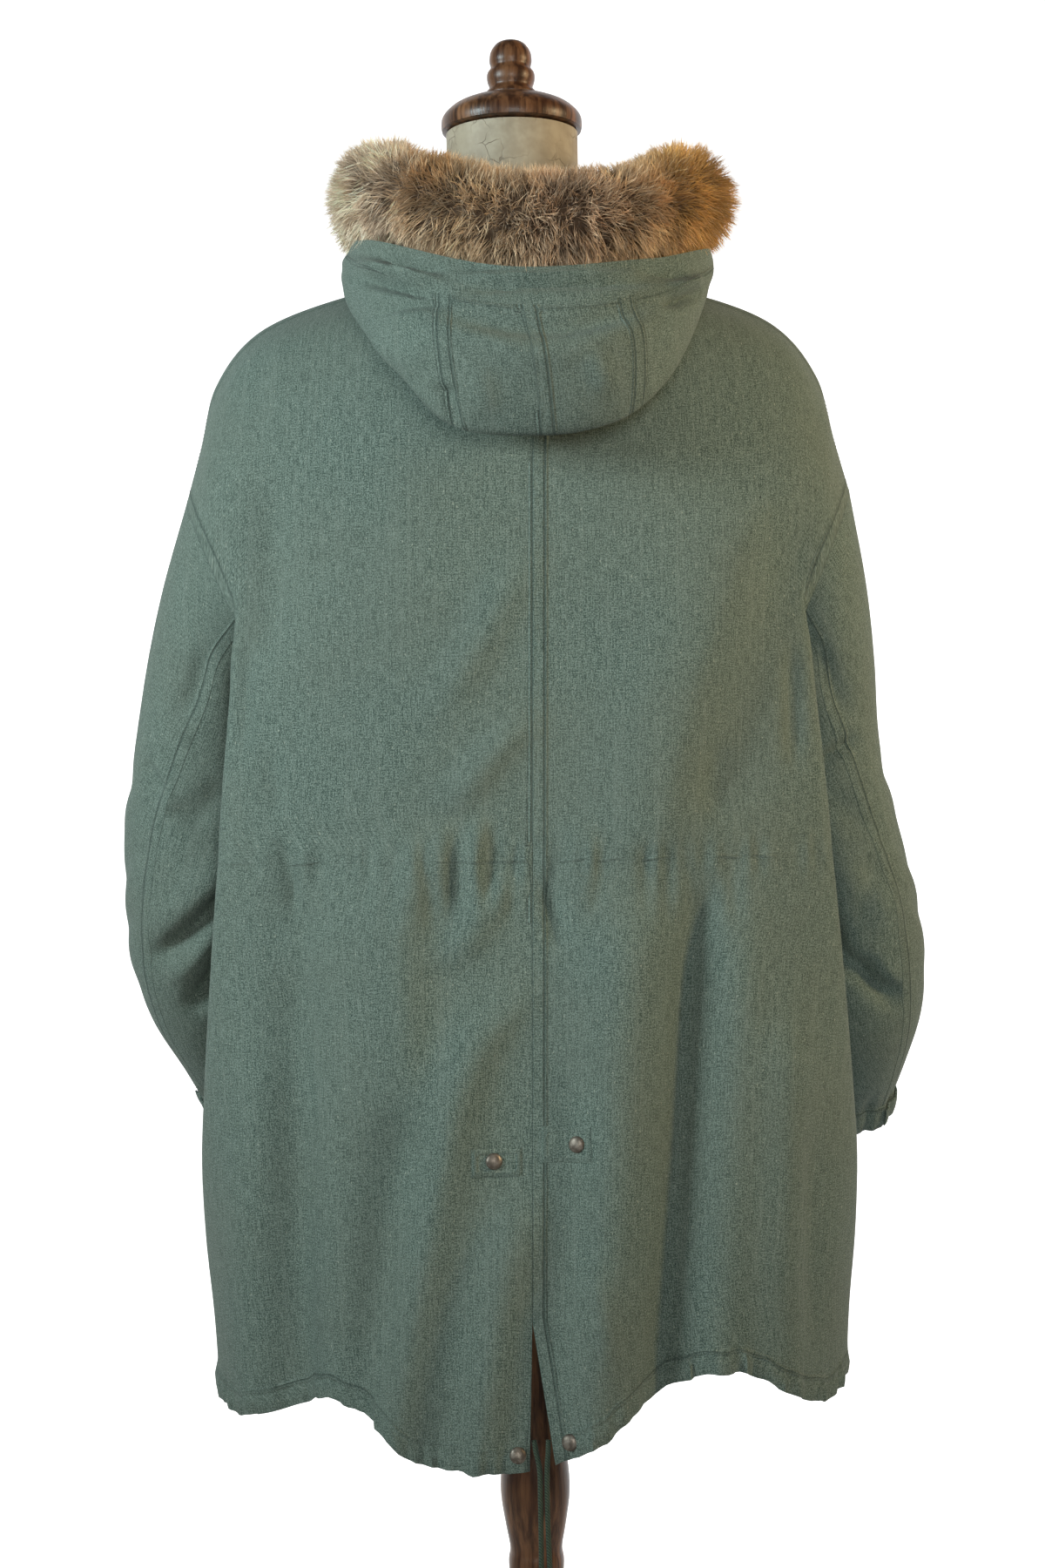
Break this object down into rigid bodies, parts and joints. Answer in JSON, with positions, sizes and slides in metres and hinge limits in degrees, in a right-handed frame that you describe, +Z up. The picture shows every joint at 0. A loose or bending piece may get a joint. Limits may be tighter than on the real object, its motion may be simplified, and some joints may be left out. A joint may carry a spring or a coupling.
{
  "type": "fishtail parka on dress form",
  "caption": "Hollow fishtail parka with a fur trimmed hood lying down, worn by a limbless dress form on a turned wooden stand.",
  "frame": {"origin": "centre of the bounding box on the floor, under the stand's round base", "axes": "+Z up; the coat faces +Y and its back faces -Y; +X is the picture's right"},
  "size_m": [0.7176, 0.425, 1.678],
  "materials": {
    "cloth": "slubby sage green cotton and linen weave",
    "fur": "long brown and cream fur",
    "form_linen": "aged cream covering with fine cracks",
    "dark_wood": "polished dark brown wood",
    "aged_brass": "aged brown metal snap caps",
    "cord": "dark green braided cord"
  },
  "bodies": {
    "root": {"back_left": "cloth", "back_right": "cloth", "front_left": "cloth", "front_right": "cloth", "top_sleeve_left": "cloth", "top_sleeve_right": "cloth", "under_sleeve_left": "cloth", "under_sleeve_right": "cloth", "cuff_left": "cloth", "cuff_right": "cloth", "cuff_tab_left": "cloth", "cuff_tab_right": "cloth", "hood_side_left": "cloth", "hood_side_right": "cloth", "hood_crown_left": "cloth", "hood_crown_right": "cloth", "hood_band_left": "cloth", "hood_band_right": "cloth", "snap_tab_left": "cloth", "snap_tab_right": "cloth", "storm_fly": "cloth", "snap_left": "aged_brass", "snap_right": "aged_brass", "snap_tail_left": "aged_brass", "snap_tail_right": "aged_brass", "snap_front_1": "aged_brass", "snap_front_2": "aged_brass", "snap_front_3": "aged_brass", "snap_front_4": "aged_brass", "snap_front_5": "aged_brass", "snap_front_6": "aged_brass", "form_cap": "dark_wood", "form_finial": "dark_wood", "stand_post": "dark_wood", "stand_base": "dark_wood", "form_torso": "form_linen", "fur_ruff": "fur", "drawcord_left": "cord", "drawcord_right": "cord"}
  },
  "joints": []
}
